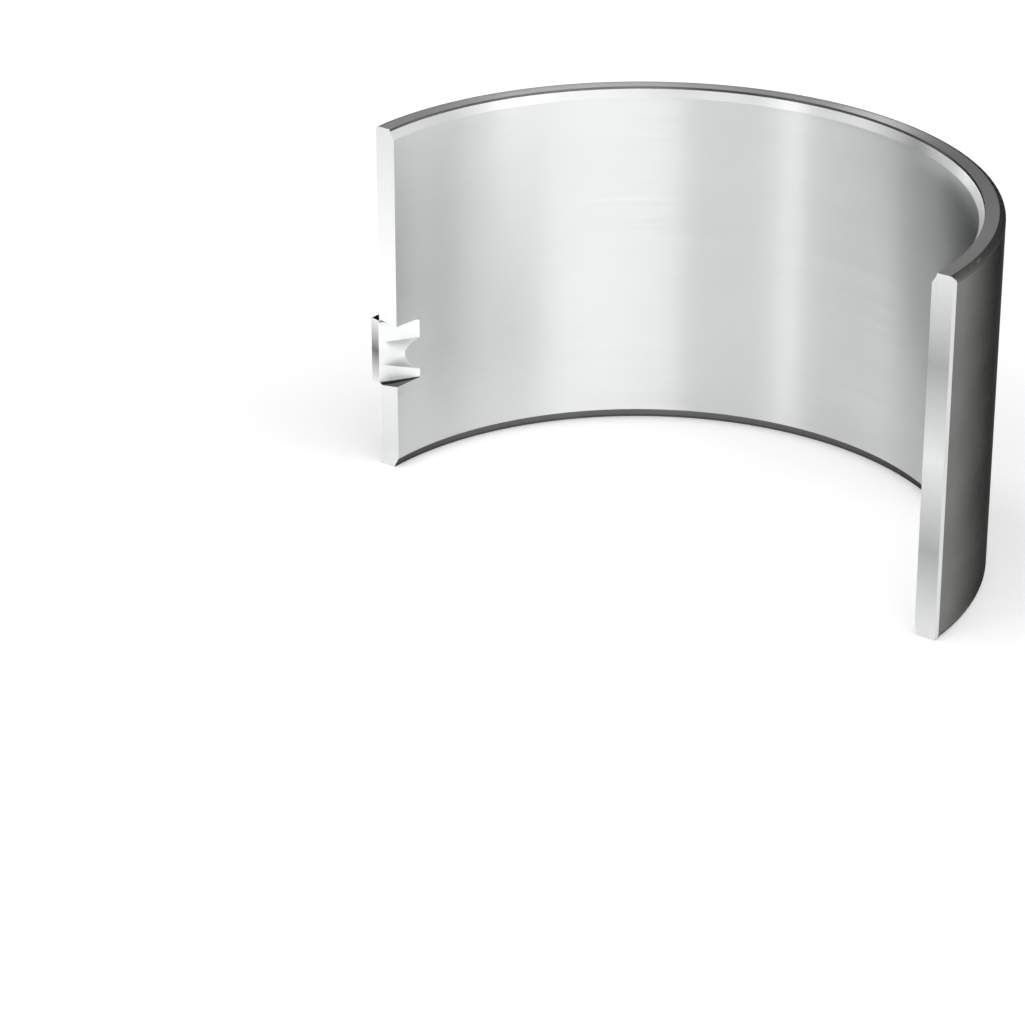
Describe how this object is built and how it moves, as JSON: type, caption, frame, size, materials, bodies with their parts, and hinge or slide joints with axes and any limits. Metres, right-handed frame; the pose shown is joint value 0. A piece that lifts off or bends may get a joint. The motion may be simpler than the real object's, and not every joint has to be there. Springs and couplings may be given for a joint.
{
  "type": "engine bearing shell",
  "caption": "Thin half shell of a plain engine bearing, with a pressed locating tang at one joint face.",
  "frame": {"origin": "on the bearing axis, in the joint plane, at the middle of the width", "axes": "+Z along the bearing axis; +Y from the joint plane to the crown of the shell; the locating tang is at the -X end, nearer the lower side face, which the shell stands on"},
  "size_m": [0.0548, 0.027, 0.0298],
  "materials": {
    "bearing_strip": "tin flashed steel strip, fine bored on the inside, satin on the back"
  },
  "bodies": {
    "root": {"bearing_shell": "bearing_strip"}
  },
  "joints": []
}
